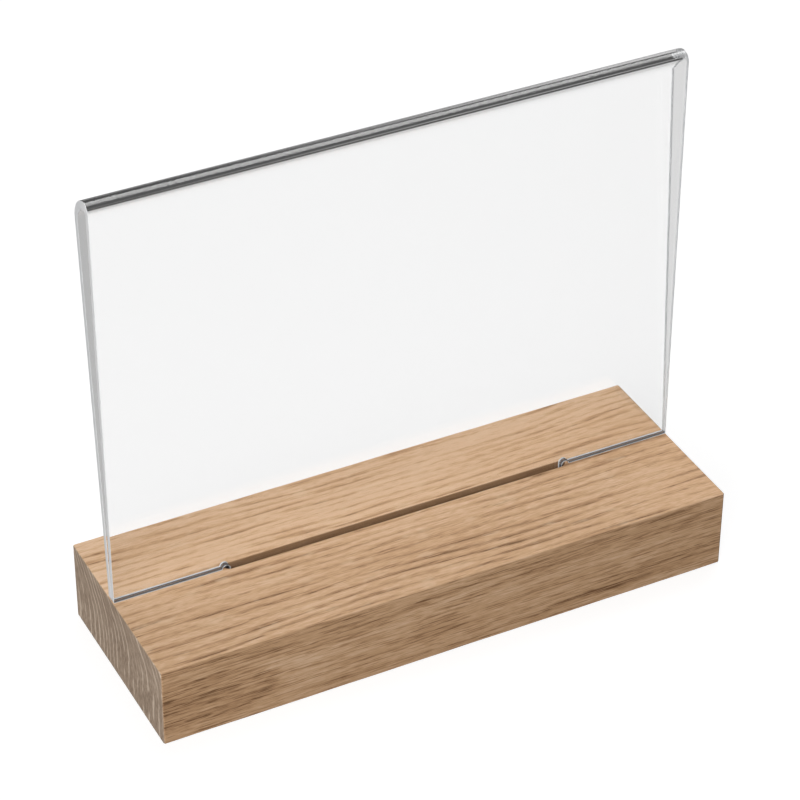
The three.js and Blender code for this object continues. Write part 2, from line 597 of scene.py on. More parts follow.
@dataclass
class Shell:
    """A mesh in the making.

    Points are in millimetres. Every face has a normal of its own at each corner, so flats stay flat and
    curves stay round whatever the size of their faces.
    """

    points: np.ndarray
    quads: np.ndarray
    quad_normals: np.ndarray
    caps: list[list[int]] = field(default_factory=list)
    cap_normals: list[np.ndarray] = field(default_factory=list)
    finishes: np.ndarray | None = None

    def write(self, name: str, materials: list[bpy.types.Material]) -> bpy.types.Object:
        """Puts the shell into the scene as an object at the origin.

        Args:
            name: The piece's name.
            materials: Its finishes in the order that finishes counts them.

        Returns:
            The new object.
        """
        mesh = bpy.data.meshes.new(name)
        mesh.from_pydata((self.points * MM).tolist(), [], self.quads.tolist() + self.caps)
        mesh.shade_smooth()
        for material in materials:
            mesh.materials.append(material)
        if self.finishes is not None:
            mesh.polygons.foreach_set("material_index", self.finishes.astype(np.int32))
        corners = np.concatenate([self.quad_normals.reshape(-1, 3), *self.cap_normals])
        corners /= np.linalg.norm(corners, axis=1, keepdims=True)
        mesh.normals_split_custom_set(corners.tolist())
        mesh.update()
        piece = bpy.data.objects.new(name, mesh)
        bpy.context.scene.collection.objects.link(piece)
        return piece


def grid_quads(index: np.ndarray, wrap: bool = False) -> np.ndarray:
    """The quads of a grid, each from its row's points to the next row's.

    Args:
        index: Point numbers in rows and columns.
        wrap: Whether the last column joins the first.

    Returns:
        Point numbers, four to a quad.
    """
    if wrap:
        index = np.concatenate([index, index[:, :1]], axis=1)
    corners = (index[:-1, :-1], index[:-1, 1:], index[1:, 1:], index[1:, :-1])
    return np.stack(corners, axis=-1).reshape(-1, 4)


def arc_zone(
    centre: Span, radius: float, turn: Span, steps: int, sense: int
) -> tuple[np.ndarray, np.ndarray]:
    """Points round a centre: the centre plus the radius along each direction.

    Args:
        centre: The arc's centre.
        radius: Its radius.
        turn: The directions, as angles, at which it starts and ends.
        steps: How many steps it has.
        sense: 1 where the outward direction points away from the centre, -1 where it points to it.

    Returns:
        The points and their outward directions.
    """
    angle = np.linspace(*turn, steps + 1)
    spoke = np.stack([np.cos(angle), np.sin(angle)], axis=1)
    return np.array(centre) + radius * spoke, sense * spoke


def line_zone(first: Span, last: Span, steps: int, outward: Span) -> tuple[np.ndarray, np.ndarray]:
    """Even points from one end of a line to the other, with the one outward direction that they share."""
    share = np.linspace(0, 1, steps + 1)[:, None]
    return np.array(first) * (1 - share) + np.array(last) * share, np.tile(outward, (steps + 1, 1))


@dataclass
class OakBlock:
    """The block: rings of points, stacked from its underside over the sides and the top into the slot."""

    length: float = 210.0
    depth: float = 74.0
    height: float = 30.0
    corner_radius: float = 0.7
    arris_radius: float = 0.45
    arris_wander: float = 0.14
    arris_waves: tuple[int, ...] = (5, 11, 23)
    lower_phase: float = 0.4
    upper_phase: float = 2.1
    slot_setback: float = 4.0
    slot_end_centre: float = 62.345
    slot_end_radius: float = 2.35
    slot_floor: float = 12.0
    mouth_radius: float = 0.3
    floor_radius: float = 0.5
    corner_steps: int = 6
    end_steps: int = 10
    side_steps: int = 64
    arris_steps: int = 5
    top_rings: int = 4
    finish: OakFinish = field(default_factory=OakFinish)

    def outline(self) -> tuple[np.ndarray, np.ndarray]:
        """The block seen from above, anticlockwise from the front side's right end.

        Each point is a corner's centre, or a point on the line to the next centre, plus the corner radius
        along the outward direction. That direction turns in the corners and stands still along the sides.
        The second half of the loop is the first one, half a turn on.

        Returns:
            The points and their outward directions.
        """
        across = self.length / 2 - self.corner_radius
        deep = self.depth / 2 - self.corner_radius
        corner, end, side = self.corner_steps, self.end_steps, self.side_steps
        quarter = np.arange(corner) / corner * math.pi / 2
        turn = np.concatenate([quarter - math.pi / 2, np.zeros(end), quarter, np.full(side, math.pi / 2)])
        run = np.arange(side) / side
        centre_x = np.concatenate([np.full(2 * corner + end, across), across * (1 - 2 * run)])
        climb = np.arange(end) / end
        centre_y = np.concatenate(
            [np.full(corner, -deep), deep * (2 * climb - 1), np.full(corner + side, deep)]
        )
        turn = np.concatenate([turn, turn + math.pi])
        centre = np.stack([centre_x, centre_y], axis=1)
        centre = np.concatenate([centre, -centre])
        outward = np.stack([np.cos(turn), np.sin(turn)], axis=1)
        return centre + self.corner_radius * outward, outward

    def slot_outline(self) -> tuple[np.ndarray, np.ndarray]:
        """The slot seen from above, point for point beside the block's outline.

        Each point is an end's centre, or a point on the line between the two, plus the end radius along the
        outward direction.

        Returns:
            The points and their directions away from the slot's middle.
        """
        end = 2 * self.corner_steps + self.end_steps
        turn = np.concatenate(
            [(np.arange(end) / end - 0.5) * math.pi, np.full(self.side_steps, math.pi / 2)]
        )
        run = np.arange(self.side_steps) / self.side_steps
        centre_x = self.slot_end_centre * np.concatenate([np.ones(end), 1 - 2 * run])
        turn = np.concatenate([turn, turn + math.pi])
        outward = np.stack([np.cos(turn), np.sin(turn)], axis=1)
        centre_x = np.concatenate([centre_x, -centre_x])
        centre = np.stack([centre_x, np.full_like(centre_x, self.slot_setback)], axis=1)
        return centre + self.slot_end_radius * outward, outward

    def arris_sizes(self, count: int, phase: float) -> np.ndarray:
        """The radius of an eased edge round the block, uneven as sanding by hand leaves it.

        It is the arris radius plus the wander times the mean of a few waves.

        Args:
            count: How many points the loop has.
            phase: Where the waves start.

        Returns:
            A radius for each point.
        """
        round_trip = np.arange(count) / count * 2 * math.pi
        phases = phase * np.arange(1, len(self.arris_waves) + 1)
        waves = np.sin(np.outer(round_trip, self.arris_waves) + phases)
        return self.arris_radius + self.arris_wander * waves.mean(axis=1)

    def side_rings(self) -> tuple[np.ndarray, np.ndarray, np.ndarray]:
        """The rings from the underside to the top: a quarter round, the upright side and a quarter round.

        A ring whose normal is tilted by t from level stands in from the outline by the radius times
        1 - cos t.

        Returns:
            Points, normals and the share of easing, each by ring and place on the ring.
        """
        outline, outward = self.outline()
        lower = self.arris_sizes(len(outline), self.lower_phase)
        upper = self.arris_sizes(len(outline), self.upper_phase)
        quarter = np.linspace(0, math.pi / 2, self.arris_steps + 1)
        tilt = np.concatenate([quarter - math.pi / 2, quarter])[:, None]
        below = np.arange(len(tilt))[:, None] <= self.arris_steps
        radius = np.where(below, lower, upper)
        level = np.where(below, radius * (1 + np.sin(tilt)), self.height - radius * (1 - np.sin(tilt)))
        plan = outline - (radius * (1 - np.cos(tilt)))[..., None] * outward
        points = np.concatenate([plan, level[..., None]], axis=2)
        level_part = np.cos(tilt)[..., None] * outward
        upright = np.broadcast_to(np.sin(tilt)[..., None], level_part.shape[:2] + (1,))
        normals = np.concatenate([level_part, upright], axis=2)
        easing = np.broadcast_to(np.sin(2 * np.abs(tilt)), level.shape)
        return points, normals, easing

    def slot_rings(self) -> tuple[np.ndarray, np.ndarray]:
        """The rings from the slot's mouth to its floor: a quarter round, the wall and a hollow round.

        A ring whose normal is tilted by t from level stands out from the outline by the radius times
        1 - cos t, and the hollow's radius counts as negative.

        Returns:
            Points and normals, each by ring and place on the ring.
        """
        outline, outward = self.slot_outline()
        quarter = np.linspace(0, math.pi / 2, self.arris_steps + 1)
        tilt = np.concatenate([quarter[::-1], quarter])
        mouth = np.arange(len(tilt)) <= self.arris_steps
        radius = np.where(mouth, self.mouth_radius, -self.floor_radius)
        level = np.where(mouth, self.height, self.slot_floor) - radius * (1 - np.sin(tilt))
        plan = outline + (radius * (1 - np.cos(tilt)))[:, None, None] * outward
        levels = np.broadcast_to(level[:, None, None], plan.shape[:2] + (1,))
        points = np.concatenate([plan, levels], axis=2)
        level_part = -np.cos(tilt)[:, None, None] * outward
        upright = np.broadcast_to(np.sin(tilt)[:, None, None], level_part.shape[:2] + (1,))
        return points, np.concatenate([level_part, upright], axis=2)

    def build(self) -> bpy.types.Object:
        """Builds the block, dresses it and sets it on its body.

        The flat top is straight lines from the end of the eased edge to the slot's mouth.

        Returns:
            The block.
        """
        sides, side_normals, easing = self.side_rings()
        slot, slot_normals = self.slot_rings()
        share = (np.arange(1, self.top_rings + 1) / (self.top_rings + 1))[:, None, None]
        top = sides[-1] * (1 - share) + slot[0] * share
        top_normals = np.broadcast_to(np.array([0.0, 0.0, 1.0]), top.shape)
        points = np.concatenate([sides, top, slot])
        normals = np.concatenate([side_normals, top_normals, slot_normals])
        rings, count = points.shape[:2]
        index = np.arange(rings * count).reshape(rings, count)
        flat_normals = normals.reshape(-1, 3)
        quads = grid_quads(index, wrap=True)
        caps = [index[0, ::-1].tolist(), index[-1].tolist()]
        shell = Shell(
            points=points.reshape(-1, 3),
            quads=quads,
            quad_normals=flat_normals[quads],
            caps=caps,
            cap_normals=[flat_normals[cap] for cap in caps],
        )
        block = shell.write("block", [self.finish.material()])
        colour_marks = np.zeros((rings, count))
        colour_marks[: len(easing)] = easing
        # The slot's rings get the painted shade
        painted_slot_shade = (np.arange(rings) > rings - len(slot)).repeat(count).astype(float)
        for mark, values in ((ARRIS, colour_marks.ravel()), (PAINTED_SLOT_SHADE, painted_slot_shade)):
            block.data.attributes.new(mark, "FLOAT", "POINT").data.foreach_set("value", values)
        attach(block, Body.BLOCK.value)
        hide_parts("oak_block")
        return block


@dataclass(frozen=True)
class LeafPath:
    """The middle of one leaf's thickness, as evenly curved runs from the tongue's foot to the crown.

    Along a run the heading changes in step with the length, and the chord from the run's start is the
    length times sin(h) / h, with h half the turn, in the direction halfway between the two headings.
    """

    marks: np.ndarray
    headings: np.ndarray
    curvatures: np.ndarray
    outs: np.ndarray
    heights: np.ndarray

    @property
    def length(self) -> float:
        """The length from the shoulders to the crown."""
        return float(self.marks[-1])

    def at(self, along: np.ndarray) -> tuple[np.ndarray, np.ndarray, np.ndarray]:
        """The path at given lengths above the shoulders.

        Args:
            along: Lengths along the path, negative in the tongue.

        Returns:
            Places outwards, heights and headings from straight up.
        """
        run = np.clip(np.searchsorted(self.marks, along, side="right") - 1, 0, len(self.headings) - 1)
        since = along - self.marks[run]
        turn = self.curvatures[run] * since
        halfway = self.headings[run] + turn / 2
        chord = since * np.sinc(turn / (2 * math.pi))
        out = self.outs[run] + chord * np.sin(halfway)
        height = self.heights[run] + chord * np.cos(halfway)
        return out, height, self.headings[run] + turn


@dataclass(frozen=True)
class FlatSheet:
    """The sheet before it is folded: places across it and, from the crown, along it, negative in front."""

    across: np.ndarray
    along: np.ndarray
    quads: np.ndarray
    loop: np.ndarray
    end_rows: np.ndarray


@dataclass(frozen=True)
class Rim:
    """The band round the sheet's outline, between its two faces."""

    points: np.ndarray
    quads: np.ndarray
    normals: np.ndarray
    finishes: np.ndarray


@dataclass
class AcrylicSleeve:
    """The clear sheet, folded over at the top, with a tongue, two reliefs and two shoulders at each foot.

    The sheet is laid out flat first. Then it is folded, and each place gets a point on its outer and on its
    inner face. The inner face's arcs lie lower in the bend, where the hot sheet bunches up.
    """

    length: float = 209.5
    top: float = 181.5
    block_height: float = 30.0
    thickness: float = 2.0
    leaf_gap: float = 0.2
    setback: float = 4.0
    bend_radius: float = 3.2
    bend_setback: float = 2.1
    crown_thickening: float = 1.0
    neck_radius: float = 8.0
    neck_angle: float = 6.0
    swell_radius: float = 9.5
    swell_angle: float = 78.0
    mouth_radius: float = 100.0
    tongue_width: float = 126.0
    tongue_depth: float = 17.0
    tongue_corner: float = 2.0
    relief_radius: float = 1.4
    shoulder_corner: float = 0.5
    shoulder_clearance: float = 0.05
    edge_radius: float = 0.16
    blend_height: float = 6.0
    blend_steps: int = 6
    least_row: float = 1.0
    turn_step: float = 2.0
    row_step: float = 13.0
    corner_steps: int = 4
    shoulder_steps: int = 8
    relief_steps: int = 14
    tongue_steps: int = 5
    foot_steps: int = 13
    edge_steps: int = 3
    clear: ClearFinish = field(default_factory=ClearFinish)
    edges: tuple[CutEdgeFinish, ...] = (FOOT, LEFT_END, RIGHT_END)

    def __post_init__(self) -> None:
        """Lays out the path of each leaf for each face."""
        self.paths = {(leaf, face): self.leaf_path(leaf, face) for leaf in Leaf for face in Face}
        self.front_length = self.paths[Leaf.FRONT, Face.OUTER].length
        self.back_length = self.paths[Leaf.BACK, Face.OUTER].length

    @staticmethod
    def heading_between(lower: complex, upper: complex, difference: float) -> float:
        """The heading of the straight run that touches two arcs.

        It is the angle whose cosine is the difference over the distance between the centres, less the slope
        of the line through them.

        Args:
            lower: The lower arc's centre, outwards and up.
            upper: The upper arc's centre.
            difference: The upper arc's radius less the lower one's.

        Returns:
            The heading from straight up, in radians.
        """
        between = upper - lower
        slope = math.atan2(between.imag, between.real)
        return math.acos(difference / abs(between)) - slope

    def leaf_path(self, leaf: Leaf, face: Face) -> LeafPath:
        """One leaf from the tongue's foot to the crown: straight, mouth, straight, neck or swell, bend.

        Args:
            leaf: Which leaf.
            face: The face that the path is for, which decides how low its bend lies.

        Returns:
            Its path.
        """
        half = self.thickness / 2
        if leaf is Leaf.FRONT:
            heading, radius = math.radians(self.neck_angle), self.neck_radius
        else:
            heading, radius = -math.radians(self.swell_angle), half - self.swell_radius
        drop = self.crown_thickening if face is Face.INNER else 0.0
        foot = complex((self.leaf_gap + self.thickness) / 2, self.block_height)
        bend = half - self.bend_radius
        bend_centre = complex(leaf.value * self.bend_setback, self.top - drop - self.bend_radius)
        centre = bend_centre + (bend - radius) * complex(-math.cos(heading), math.sin(heading))
        mouth = math.copysign(self.mouth_radius, self.heading_between(foot, centre, radius))
        lean = self.heading_between(foot + mouth, centre, radius - mouth)
        leaving = foot + mouth + mouth * complex(-math.cos(lean), math.sin(lean))
        meeting = centre + radius * complex(-math.cos(lean), math.sin(lean))
        turned = bend_centre + bend * complex(-math.cos(heading), math.sin(heading))
        turns = np.array([0.0, lean, 0.0, heading - lean, -math.pi / 2 - heading])
        curvatures = np.array([0.0, 1 / mouth, 0.0, 1 / radius, 1 / bend])
        straight = [self.tongue_depth, 0.0, abs(meeting - leaving), 0.0, 0.0]
        bent = curvatures != 0.0
        lengths = np.where(bent, turns / np.where(bent, curvatures, 1.0), straight)
        marks = np.concatenate([[0.0], np.cumsum(lengths)]) - self.tongue_depth
        headings = np.concatenate([[0.0], np.cumsum(turns)])[:-1]
        places = np.array([foot - self.tongue_depth * 1j, foot, leaving, meeting, turned])
        return LeafPath(marks, headings, curvatures, places.real, places.imag)

    def fold(self, along: np.ndarray, face: Face) -> tuple[np.ndarray, np.ndarray, np.ndarray]:
        """Folds one face of the sheet.

        A place's length along the face's own path is read off run by run, and the face lies half the
        thickness off that path.

        Args:
            along: Places along the flat sheet.
            face: Which face.

        Returns:
            For each one the face's point, its direction along the sheet and its normal, as Y and Z.
        """
        in_front = along <= 0
        since_foot = np.where(in_front, along + self.front_length, self.back_length - along)
        found = []
        for leaf in Leaf:
            path = self.paths[leaf, face]
            found.append(path.at(np.interp(since_foot, self.paths[leaf, Face.OUTER].marks, path.marks)))
        out, height, heading = (np.where(in_front, front, back) for front, back in zip(*found))
        side = np.where(in_front, Leaf.FRONT.value, Leaf.BACK.value)
        outward = np.stack([np.cos(heading) * side, -np.sin(heading)], axis=-1)
        onward = np.stack([-np.sin(heading), -np.cos(heading) * side], axis=-1)
        middle = np.stack([self.setback + side * out, height], axis=-1)
        normal = face.value * outward
        return middle + self.thickness / 2 * normal, onward, normal

    def points(self, across: np.ndarray, along: np.ndarray, share: float) -> np.ndarray:
        """Points of the folded sheet.

        Args:
            across: Places across the flat sheet.
            along: Places along the flat sheet.
            share: Where each lies between the inner face at -1 and the outer face at 1.

        Returns:
            The points.
        """
        outer, inner = (self.fold(along, face)[0] for face in Face)
        between = ((1 + share) * outer + (1 - share) * inner) / 2
        return np.concatenate([across[..., None], between], axis=-1)

    def foot_zones(self, inset: float) -> list[tuple[np.ndarray, np.ndarray]]:
        """The right half of a foot's outline, from the sheet's end to the tongue's middle.

        The zones are the end's corner arc, the shoulder, the relief's half round, the tongue's side, the
        tongue's corner arc and half of its foot.

        Args:
            inset: How far inside the outline the points lie.

        Returns:
            For each zone its points, as place across and height above the block, and its outward
            directions.
        """
        end, side = self.length / 2, self.tongue_width / 2
        low, foot = self.shoulder_clearance + inset, inset - self.tongue_depth
        corner = self.shoulder_corner
        end_centre = (end - corner, self.shoulder_clearance + corner)
        relief = self.relief_radius + inset
        relief_centre = (side + self.relief_radius, 0.0)
        relief_start = math.asin(low / relief)
        notch = (relief_centre[0] + relief * math.cos(relief_start), low)
        tongue = (side - self.tongue_corner, self.tongue_corner - self.tongue_depth)
        quarter = math.pi / 2
        return [
            arc_zone(end_centre, corner - inset, (0.0, -quarter), self.corner_steps, 1),
            line_zone((end - corner, low), notch, self.shoulder_steps, (0.0, -1.0)),
            arc_zone(relief_centre, relief, (relief_start, math.pi), self.relief_steps, -1),
            line_zone((side - inset, 0.0), (side - inset, tongue[1]), self.tongue_steps, (1.0, 0.0)),
            arc_zone(tongue, self.tongue_corner - inset, (0.0, -quarter), self.corner_steps, 1),
            line_zone((tongue[0], foot), (0.0, foot), self.foot_steps, (0.0, -1.0)),
        ]

    def foot_outline(self, inset: float) -> tuple[np.ndarray, np.ndarray, np.ndarray]:
        """A foot's whole outline from right to left: the right half, and then its mirror image.

        Args:
            inset: How far inside the outline the points lie.

        Returns:
            Its points, and the outward directions at the start and at the end of each step.
        """
        zones = self.foot_zones(inset)
        mirror = np.array([-1.0, 1.0])
        right = np.concatenate([zones[0][0]] + [zone[0][1:] for zone in zones[1:]])
        points = np.concatenate([right, right[-2::-1] * mirror])
        first = np.concatenate([zone[1][:-1] for zone in zones])
        last = np.concatenate([zone[1][1:] for zone in zones])
        starts = np.concatenate([first, last[::-1] * mirror])
        ends = np.concatenate([last, first[::-1] * mirror])
        return points, starts, ends

    def levels(self, leaf: Leaf) -> np.ndarray:
        """Lengths at which a leaf's rows above the blend lie: even steps along each run, finer in a turn.

        Args:
            leaf: Which leaf.

        Returns:
            Rising lengths, the last of them at the crown.
        """
        path = self.paths[leaf, Face.OUTER]
        above = path.marks > self.blend_height + self.least_row
        marks = np.concatenate([[self.blend_height], path.marks[above]])
        bends = np.append(path.headings, -math.pi / 2)[above]
        headings = np.concatenate([bends[:1], bends])
        rows = [marks[:1]]
        for number, (first, last) in enumerate(zip(marks[:-1], marks[1:])):
            turn = math.degrees(abs(headings[number + 1] - headings[number]))
            steps = max(math.ceil((last - first) / self.row_step), math.ceil(turn / self.turn_step))
            rows.append(np.linspace(first, last, steps + 1)[1:])
        return np.concatenate(rows)

    def rows(self, leaf: Leaf, bottom: np.ndarray) -> np.ndarray:
        """Lengths of a leaf's rows at every column: a blend up from the outline, then level rows.

        Args:
            leaf: Which leaf.
            bottom: The outline's height above the block at each column.

        Returns:
            Lengths by row and column.
        """
        share = (np.arange(self.blend_steps) / self.blend_steps)[:, None]
        blend = bottom * (1 - share) + self.blend_height * share
        level = self.levels(leaf)[:, None] + np.zeros_like(bottom)
        return np.concatenate([blend, level])

    def flat_sheet(self) -> FlatSheet:
        """Lays the sheet out flat: one wide grid between the two feet and a narrow grid for each tongue.

        Returns:
            The flat sheet, whose quads face inwards once it is folded.
        """
        foot, _, _ = self.foot_outline(self.edge_radius)
        wide = self.corner_steps + self.shoulder_steps + self.relief_steps
        narrow = foot[wide + self.tongue_steps : len(foot) - wide - self.tongue_steps]
        right, left = foot[: wide + 1], foot[len(foot) - wide - 1 :]
        columns = np.concatenate([right[:, 0], narrow[1:-1, 0], left[:, 0]])
        bottom = np.concatenate([right[:, 1], np.zeros(len(narrow) - 2), left[:, 1]])
        front_rows = self.rows(Leaf.FRONT, bottom) - self.front_length
        back_rows = self.back_length - self.rows(Leaf.BACK, bottom)[-2::-1]
        wide_along = np.concatenate([front_rows, back_rows])
        drop = (np.arange(1, self.tongue_steps + 1) / self.tongue_steps)[:, None] * narrow[:, 1]

        main = np.arange(wide_along.size).reshape(wide_along.shape)
        front_tongue = main.size + np.arange(drop.size).reshape(drop.shape)
        back_tongue = front_tongue + drop.size
        middle = slice(wide, len(columns) - wide)
        grids = (
            main,
            np.concatenate([front_tongue[::-1], main[:1, middle]]),
            np.concatenate([main[-1:, middle], back_tongue]),
        )
        feet = []
        for row, tongue in ((main[0], front_tongue), (main[-1], back_tongue)):
            sides = (row[: wide + 1], tongue[:, 0], tongue[-1, 1:], tongue[-2::-1, -1], row[-wide - 1 :])
            feet.append(np.concatenate(sides))
        front_drop, back_drop = drop - self.front_length, self.back_length - drop
        tongue_across = np.broadcast_to(narrow[:, 0], drop.shape).ravel()
        return FlatSheet(
            across=np.concatenate([np.tile(columns, len(main)), tongue_across, tongue_across]),
            along=np.concatenate([part.ravel() for part in (wide_along, front_drop, back_drop)]),
            quads=np.concatenate([grid_quads(grid) for grid in grids]),
            loop=np.concatenate([feet[0], main[1:-1, -1], feet[1][::-1], main[-2:0:-1, 0]]),
            end_rows=wide_along[1:-1, 0],
        )

    def outline(self, inset: float, end_rows: np.ndarray) -> tuple[np.ndarray, np.ndarray]:
        """The flat sheet's whole outline: front foot, left end, back foot, right end.

        Args:
            inset: How far inside the outline the points lie.
            end_rows: Places along the sheet of the rows between the two feet, at its ends.

        Returns:
            Places across and along the sheet.
        """
        foot, _, _ = self.foot_outline(inset)
        end = np.full(len(end_rows), self.length / 2 - inset)
        across = np.concatenate([foot[:, 0], -end, foot[::-1, 0], end])
        along = np.concatenate(
            [foot[:, 1] - self.front_length, end_rows, self.back_length - foot[::-1, 1], end_rows[::-1]]
        )
        return across, along

    def outline_normals(self, end_steps: int) -> tuple[np.ndarray, np.ndarray]:
        """Outward directions across and along the sheet at the start and the end of each outline step.

        Args:
            end_steps: How many steps each end of the sheet has.

        Returns:
            The directions at the starts and at the ends.
        """
        _, starts, ends = self.foot_outline(0.0)
        flip = np.array([1.0, -1.0])
        left = np.tile([-1.0, 0.0], (end_steps, 1))
        first = np.concatenate([starts, left, ends[::-1] * flip, -left])
        last = np.concatenate([ends, left, starts[::-1] * flip, -left])
        return first, last

    def rim(self, flat: FlatSheet) -> Rim:
        """The band round the outline: a quarter round off the outer face, a flat and a quarter round.

        A row whose normal is turned by t from its face lies in from the outline by the edge radius times
        1 - sin t, and in from the face by the edge radius times 1 - cos t.

        Args:
            flat: The flat sheet, whose two faces' points come before the band's.

        Returns:
            The band, with a finish for both feet and one for each end.
        """
        half, radius = self.thickness / 2, self.edge_radius
        count, size = len(flat.across), len(flat.loop)
        turn = np.linspace(0, math.pi / 2, self.edge_steps + 1)
        turn = np.concatenate([turn, turn[::-1]])
        side = np.repeat([1.0, -1.0], self.edge_steps + 1)
        insets = radius * (1 - np.sin(turn))
        shares = side * (1 - radius / half * (1 - np.cos(turn)))
        points = [
            self.points(*self.outline(inset, flat.end_rows), share)
            for inset, share in zip(insets[1:-1], shares[1:-1])
        ]
        index = np.arange(len(points) * size).reshape(-1, size) + 2 * count
        quads = grid_quads(np.concatenate([[flat.loop], index, [count + flat.loop]]), wrap=True)

        along = flat.along[flat.loop]
        folded = {face: self.fold(along, face) for face in Face}
        onward = folded[Face.OUTER][1]
        flat_faces = [np.insert(folded[face][2], 0, 0.0, axis=1) for face in (Face.OUTER, Face.INNER)]
        face_normals = np.repeat(np.stack(flat_faces), self.edge_steps + 1, axis=0)
        off_face, off_edge = np.sin(turn)[:, None, None], np.cos(turn)[:, None, None]
        following = np.roll(np.arange(size), -1)
        starts, ends = self.outline_normals(len(flat.end_rows) + 1)
        start_edge = np.concatenate([starts[:, :1], starts[:, 1:] * onward], axis=1)
        end_edge = np.concatenate([ends[:, :1], ends[:, 1:] * onward[following]], axis=1)
        at_start = off_edge * face_normals + off_face * start_edge
        at_end = off_edge * face_normals[:, following] + off_face * end_edge
        corners = [at_start[:-1], at_end[:-1], at_end[1:], at_start[1:]]
        normals = np.stack(corners, axis=2).reshape(-1, 4, 3)

        end_steps = len(flat.end_rows) + 1
        foot_steps = size // 2 - end_steps
        order = [part.value for part in (Dress.FOOT, Dress.LEFT_END, Dress.FOOT, Dress.RIGHT_END)]
        steps = np.repeat(order, [foot_steps, end_steps] * 2)
        return Rim(np.concatenate(points), quads, normals, np.tile(steps, len(quads) // size))

    def build(self) -> bpy.types.Object:
        """Builds the sleeve, dresses it and sets it on its body.

        Returns:
            The sleeve.
        """
        flat = self.flat_sheet()
        rim = self.rim(flat)
        outer, inner = flat.quads[:, ::-1], flat.quads
        faces = [self.points(flat.across, flat.along, face.value) for face in Face]
        normals = {face: np.insert(self.fold(flat.along, face)[2], 0, 0.0, axis=1) for face in Face}
        face_normals = [normals[Face.OUTER][outer], normals[Face.INNER][inner]]
        shell = Shell(
            points=np.concatenate([*faces, rim.points]),
            quads=np.concatenate([outer, inner + len(flat.across), rim.quads]),
            quad_normals=np.concatenate([*face_normals, rim.normals]),
            finishes=np.concatenate([np.full(2 * len(inner), Dress.CLEAR.value), rim.finishes]),
        )
        sleeve = shell.write("sleeve", [finish.material() for finish in (self.clear, *self.edges)])
        sleeve.visible_shadow = False
        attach(sleeve, Body.SLEEVE.value)
        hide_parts("acrylic_sleeve")
        return sleeve


@dataclass(frozen=True)
class Sight:
    """What kind of ray has reached the floor or the surroundings, each as a mask of 0 or 1.

    They are for the camera's own rays, for those that only went through clear pieces, for those of them
    that went through a single leaf, for those that a glossy surface threw back on their way, and for those
    of them that never went into a clear piece. Soft light off a matt surface is in none of them.
    """

    direct: Socket
    through: Socket
    through_one: Socket
    mirrored: Socket
    mirrored_outside: Socket

    @classmethod
    def read(cls, sheet: NodeSheet) -> "Sight":
        """Reads the ray's history.

        Args:
            sheet: The node tree.

        Returns:
            The masks.
        """
        path = sheet.add("ShaderNodeLightPath").outputs
        sharp = sheet.math("LESS_THAN", path["Diffuse Depth"], NOT_ONCE)
        bounced = sheet.math("GREATER_THAN", path["Glossy Depth"], NOT_ONCE)
        straight = sheet.math("SUBTRACT", 1.0, bounced)
        through = sheet.product(path["Is Transmission Ray"], sharp, straight)
        one = sheet.math("LESS_THAN", path["Transmission Depth"], ONE_LEAF)
        outside = sheet.math("LESS_THAN", path["Transmission Depth"], NOT_ONCE)
        mirrored = sheet.product(sharp, bounced)
        return cls(
            direct=path["Is Camera Ray"],
            through=through,
            through_one=sheet.product(through, one),
            mirrored=mirrored,
            mirrored_outside=sheet.product(mirrored, outside),
        )


@dataclass(frozen=True)
class FloorFinish:
    """A plain pale floor that takes a soft shadow.

    It reads white to the eye and through both leaves, and grey through one of them, darker on the left
    than on the right. In a mirrored view it is dark but for a paler patch behind on the right.
    """

    albedo: float = 0.34
    glow: float = 0.80
    glow_through: float = 0.82
    glow_through_one: Span = (0.24, 0.51)
    one_leaf_run: Span = (0.0, 190.0)
    mirrored_grey: float = 0.08
    mirrored_patch: float = 0.75
    patch_right: Span = (60.0, 400.0)
    patch_behind: Span = (250.0, 460.0)

    def material(self) -> bpy.types.Material:
        """The floor as a material.

        Returns:
            The finished material.
        """
        material = bpy.data.materials.new("pale_floor")
        material.use_nodes = True
        sheet = NodeSheet(material.node_tree)
        sight = Sight.read(sheet)
        right, back, _ = sheet.apart(sheet.place_in_mm())
        one = sheet.spread(right, self.one_leaf_run, self.glow_through_one)
        strength = sheet.total(
            sheet.product(sight.direct, self.glow),
            (sight.through, self.glow_through),
            (sight.through_one, sheet.math("SUBTRACT", one, self.glow_through)),
        )
        patch = sheet.product(sheet.spread(right, self.patch_right), sheet.spread(back, self.patch_behind))
        dimness = sheet.total(self.mirrored_grey, (patch, self.mirrored_patch - self.mirrored_grey))
        matt = sheet.feed(sheet.add("ShaderNodeBsdfDiffuse"), {"Color": (*(self.albedo,) * 3, 1.0)})
        glow = sheet.feed(sheet.add("ShaderNodeEmission"), {"Strength": strength})
        dim = sheet.feed(sheet.add("ShaderNodeEmission"), {"Strength": dimness})
        pale = sheet.feed(sheet.add("ShaderNodeAddShader"), {0: matt.outputs[0], 1: glow.outputs[0]})
        either = sheet.add("ShaderNodeMixShader")
        sheet.feed(either, {0: sight.mirrored, 1: pale.outputs[0], 2: dim.outputs[0]})
        sheet.feed(sheet.add("ShaderNodeOutputMaterial"), {"Surface": either.outputs[0]})
        return material


